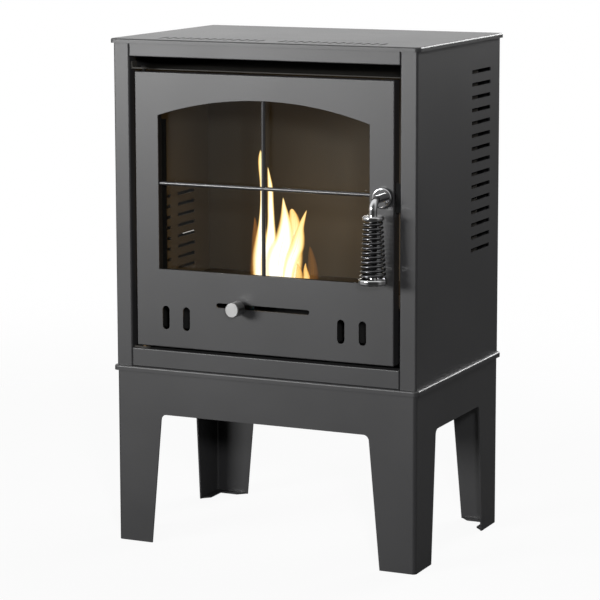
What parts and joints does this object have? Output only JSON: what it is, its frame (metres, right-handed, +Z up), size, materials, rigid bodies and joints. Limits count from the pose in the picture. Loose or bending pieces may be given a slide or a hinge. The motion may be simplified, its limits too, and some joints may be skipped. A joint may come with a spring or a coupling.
{
  "type": "bioethanol stove",
  "caption": "Free-standing bioethanol stove: folded steel body with an arched window door, coil handle and flame regulator, on a tapered-leg stand.",
  "frame": {"origin": "on the floor, under the middle of the whole stove's outer box, handle included", "axes": "+Z up, the door faces -Y, +X to the viewer's right when facing the door"},
  "size_m": [0.5092, 0.4036, 0.783],
  "materials": {
    "charcoal_paint": "matt charcoal stove paint",
    "black_paint": "matt heat-resistant black",
    "chrome": "polished chrome",
    "brushed_steel": "turned, brushed",
    "stainless_steel": "satin stainless sheet",
    "spring_steel": "polished spring wire",
    "zinc_steel": "zinc plated",
    "brass_bush": "plain",
    "glass": "clear heat-resistant",
    "gasket": "black woven sealing tape",
    "ceramic_wool": "fibrous"
  },
  "bodies": {
    "cabinet": {"stand_frame": "charcoal_paint", "stand_top_plate": "charcoal_paint", "body_bolts": "zinc_steel", "floor_pan": "black_paint", "side_panel_left": "charcoal_paint", "side_panel_right": "charcoal_paint", "top_rail": "charcoal_paint", "bottom_rail": "charcoal_paint", "back_panel": "charcoal_paint", "back_panel_screws": "zinc_steel", "top_plate": "charcoal_paint", "firebox_liner_left": "black_paint", "firebox_liner_right": "black_paint", "firebox_back": "black_paint", "firebox_roof": "black_paint", "burner_deck": "black_paint", "burner_tank": "stainless_steel", "burner_wool": "ceramic_wool", "burner_top": "stainless_steel", "lid_guides": "stainless_steel", "hinge_bracket_upper": "black_paint", "hinge_bracket_lower": "black_paint", "hinge_pin_upper": "black_paint", "hinge_pin_lower": "black_paint", "thrust_washer": "brass_bush", "latch_keeper": "black_paint"},
    "burner_lid": {"burner_lid": "stainless_steel", "lid_arm": "stainless_steel"},
    "door": {"door_panel": "charcoal_paint", "window_frame": "black_paint", "glazing_bars": "charcoal_paint", "glass_gasket": "gasket", "door_glass": "glass", "glass_rail_left": "zinc_steel", "glass_rail_right": "zinc_steel", "glass_rail_screws": "zinc_steel", "hinge_bush_upper": "brass_bush", "hinge_bush_lower": "brass_bush", "handle_rosette": "chrome", "slider_guides": "zinc_steel"},
    "handle": {"handle_rod": "chrome", "grip_cap_upper": "chrome", "grip_coil": "spring_steel", "grip_cap_lower": "chrome", "latch_cam": "zinc_steel", "cam_nut": "zinc_steel"},
    "knob": {"regulator_knob": "brushed_steel", "slider_stem": "zinc_steel", "slider_carriage": "zinc_steel", "slider_arm": "zinc_steel"}
  },
  "joints": [
    {"name": "door_hinge", "type": "hinge", "parent": "cabinet", "child": "door", "pos_m": [-0.2037, -0.1308, 0.5], "axis": [0, 0, -1], "range_deg": [0, 110]},
    {"name": "latch_turn", "type": "hinge", "parent": "door", "child": "handle", "pos_m": [0.1967, -0.1468, 0.562], "axis": [0, 1, 0], "range_deg": [0, 90]},
    {"name": "knob_slide", "type": "slide", "parent": "door", "child": "knob", "axis": [1, 0, 0], "range_m": [-0.038, 0.11]},
    {"name": "lid_slide", "type": "slide", "parent": "cabinet", "child": "burner_lid", "axis": [1, 0, 0], "range_m": [-0.038, 0.11]}
  ],
  "couplings": [
    {"joint": "lid_slide", "follows": "knob_slide", "ratio": 1}
  ]
}
